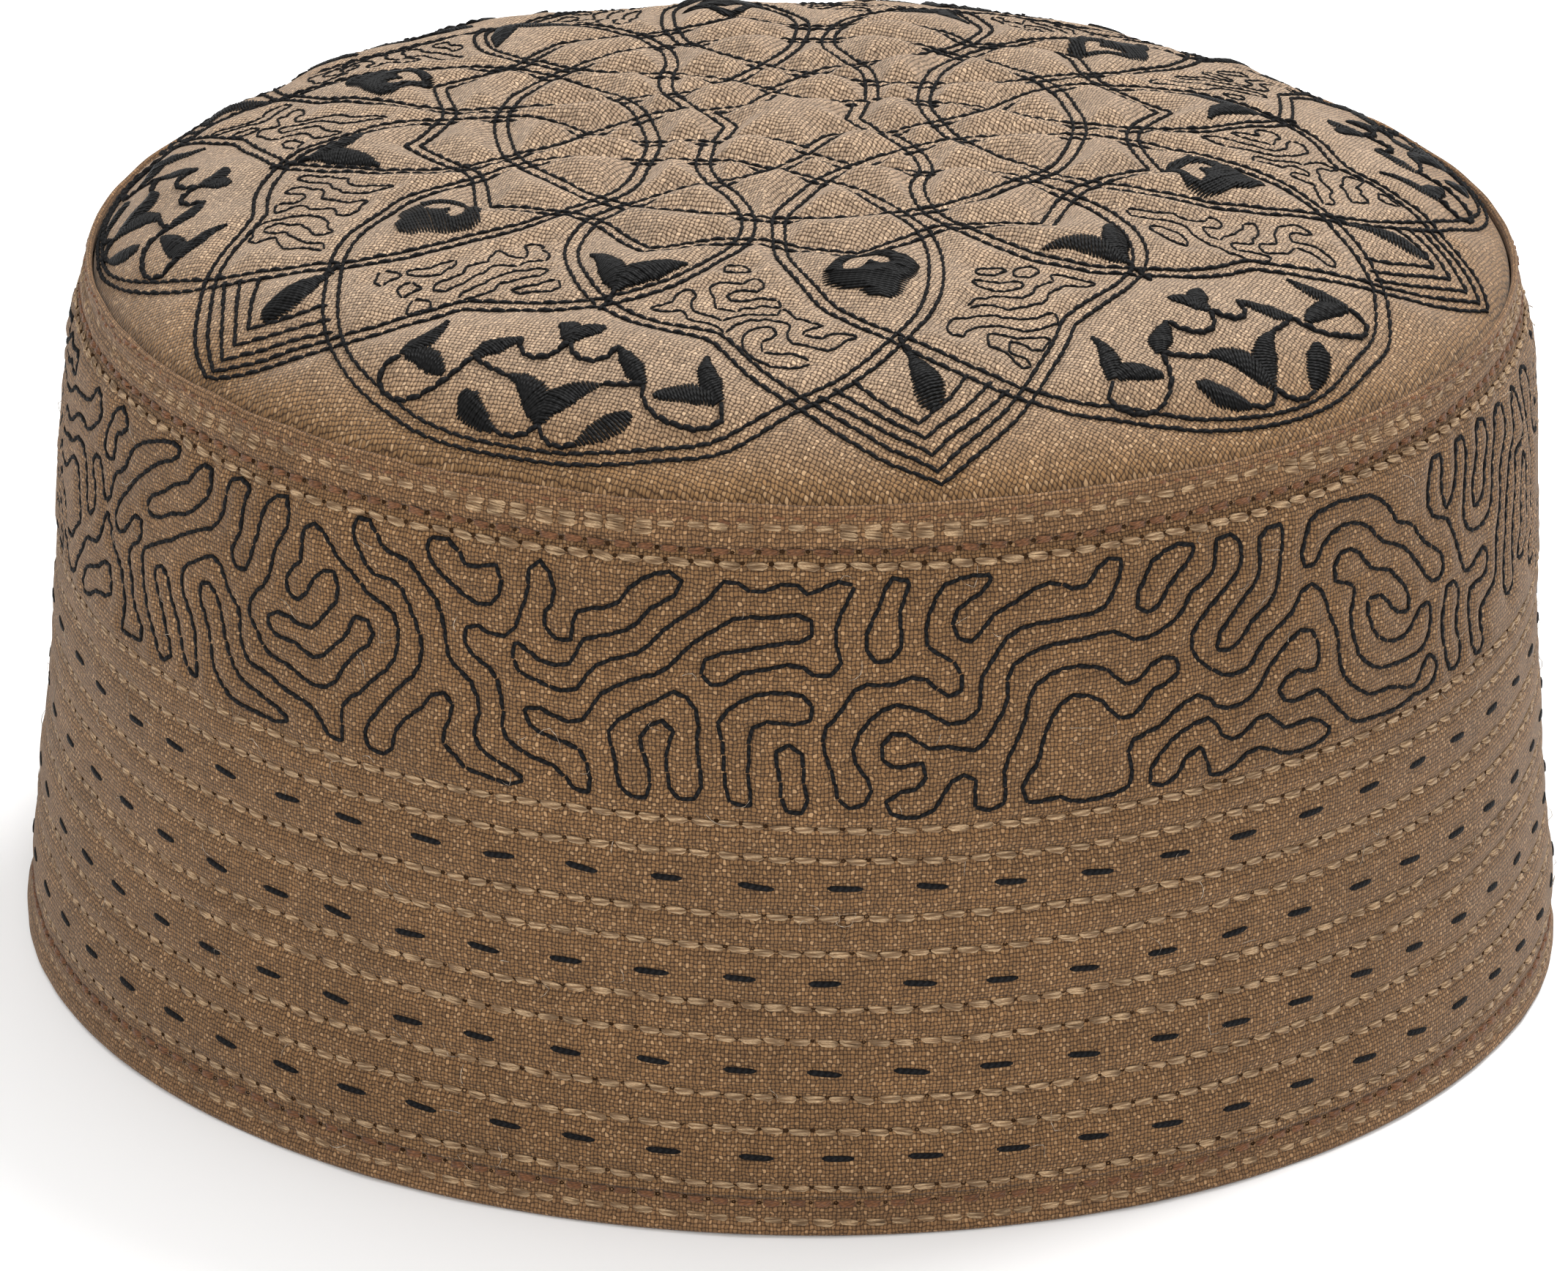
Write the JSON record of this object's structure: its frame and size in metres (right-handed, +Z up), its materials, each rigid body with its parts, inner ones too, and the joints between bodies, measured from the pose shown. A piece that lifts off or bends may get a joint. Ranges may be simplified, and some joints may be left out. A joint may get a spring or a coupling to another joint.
{
  "type": "embroidered skullcap",
  "caption": "Round cloth skullcap with a low domed quilted crown and a tall, slightly flared side, open below for the head.",
  "frame": {"origin": "centre of the rim, on the surface that the cap stands on", "axes": "+Z up through the crown, -Y towards the front, +X to the right seen from the front"},
  "size_m": [0.182, 0.178, 0.095],
  "materials": {
    "crown_cloth": "matt plain-weave wool, light brown",
    "side_cloth": "matt plain-weave wool, brown",
    "strip_cloth": "matt folded plain-weave wool, brown",
    "black_thread": "matt twisted thread, near black",
    "tan_thread": "plied thread with a slight sheen, light tan",
    "rust_thread": "loose thread, rust brown"
  },
  "bodies": {
    "root": {"crown_panel": "crown_cloth", "seam_strip": "strip_cloth", "side_band": "side_cloth", "hem_strip": "strip_cloth"}
  },
  "joints": []
}
